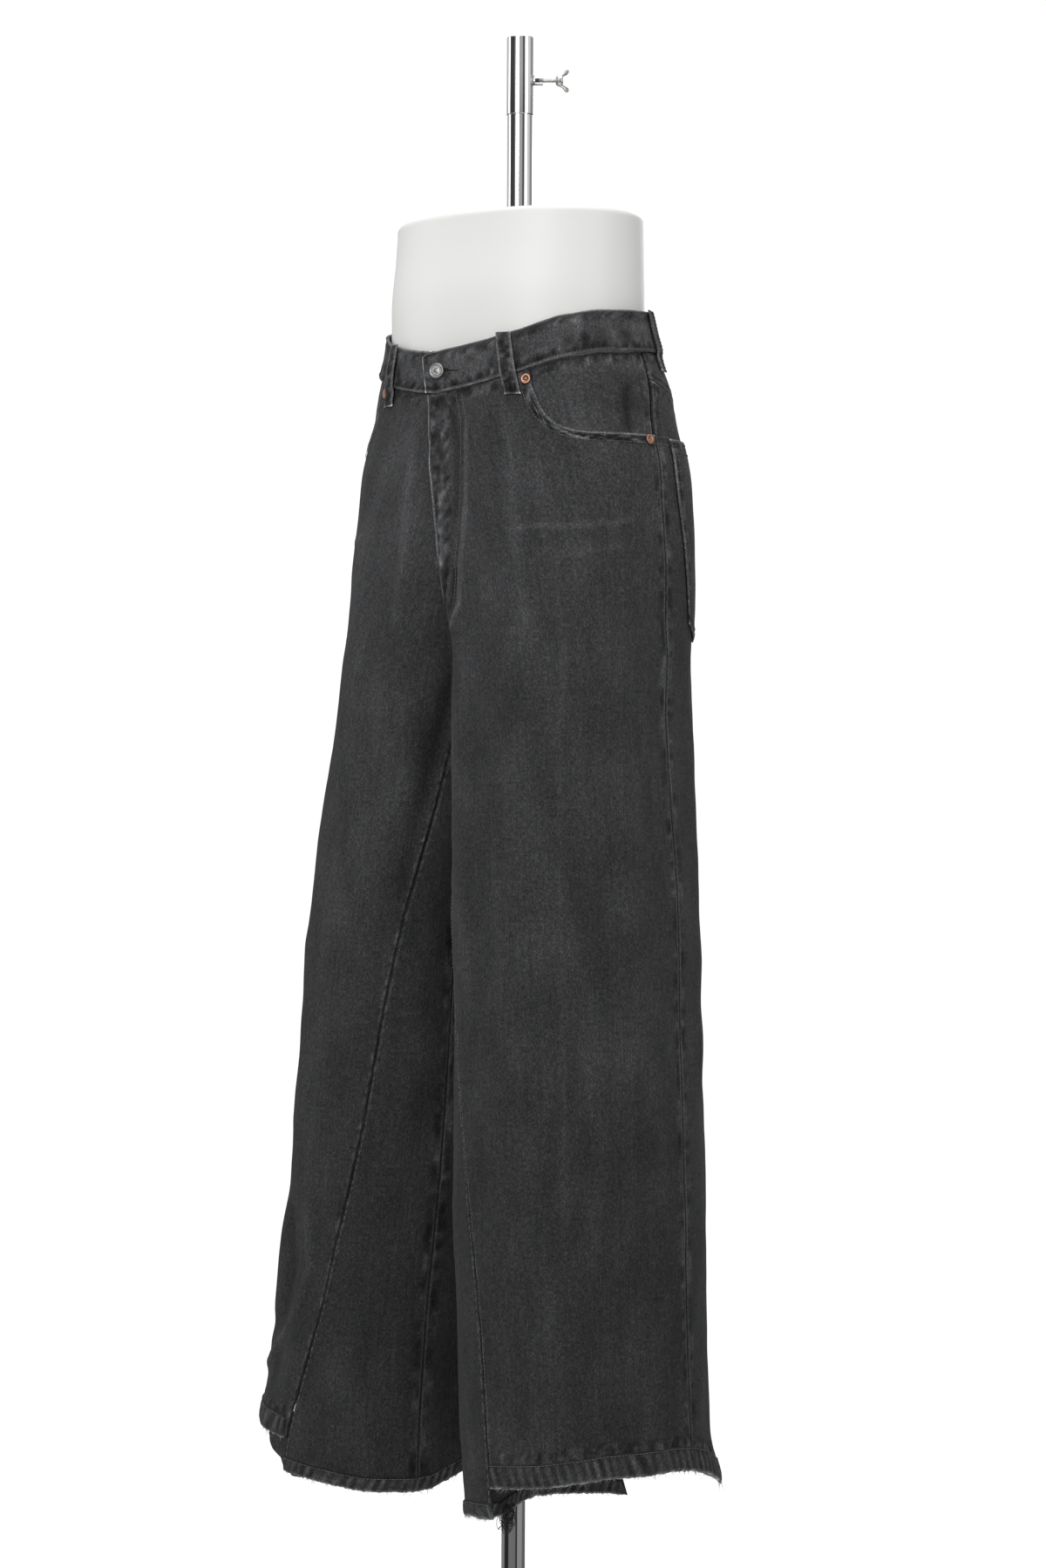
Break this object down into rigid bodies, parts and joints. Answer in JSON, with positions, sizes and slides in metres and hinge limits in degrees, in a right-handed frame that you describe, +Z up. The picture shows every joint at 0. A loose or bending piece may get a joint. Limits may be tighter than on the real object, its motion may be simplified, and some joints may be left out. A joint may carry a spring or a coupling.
{
  "type": "baggy jeans on a limbless hip form with a chromed stand",
  "caption": "Wide-leg washed denim jeans with pointed inserts down the inner legs, worn by a limbless white hip form on a chromed pole with a clamp socket on top.",
  "frame": {"origin": "middle of the base plate's underside, on the axis of the stand's pole", "axes": "+Z up along the pole, -Y towards the garment's front, +X towards the wearer's left"},
  "size_m": [0.4739, 0.3458, 1.511],
  "materials": {
    "denim": "washed charcoal twill, dry and matte, paler along seams and edges",
    "button_metal": "worn silver shank button",
    "copper": "copper-plated rivet",
    "white_form": "satin white",
    "chrome": "bright plated steel"
  },
  "bodies": {
    "stand_and_jeans": {"front_left": "denim", "front_right": "denim", "back_left": "denim", "back_right": "denim", "insert_front_left": "denim", "insert_front_right": "denim", "insert_back_left": "denim", "insert_back_right": "denim", "yoke_left": "denim", "yoke_right": "denim", "pocket_facing_left": "denim", "pocket_facing_right": "denim", "back_pocket_left": "denim", "back_pocket_right": "denim", "waistband": "denim", "loop_front_left": "denim", "loop_front_right": "denim", "loop_side_left": "denim", "loop_side_right": "denim", "loop_back": "denim", "fly": "denim", "button": "button_metal", "rivet_left_inner": "copper", "rivet_left_outer": "copper", "rivet_right_inner": "copper", "rivet_right_outer": "copper", "hip_form": "white_form", "base_plate": "chrome", "foot_collar": "chrome", "stand_pole": "chrome", "stand_post": "chrome", "stand_sleeve": "chrome"},
    "thumbscrew": {"thumbscrew": "chrome"}
  },
  "joints": [
    {"name": "thumbscrew_turn", "type": "hinge", "parent": "stand_and_jeans", "child": "thumbscrew", "pos_m": [0.0233, 0.0233, 1.471], "axis": [0.7071, 0.7071, 0], "continuous": true}
  ]
}
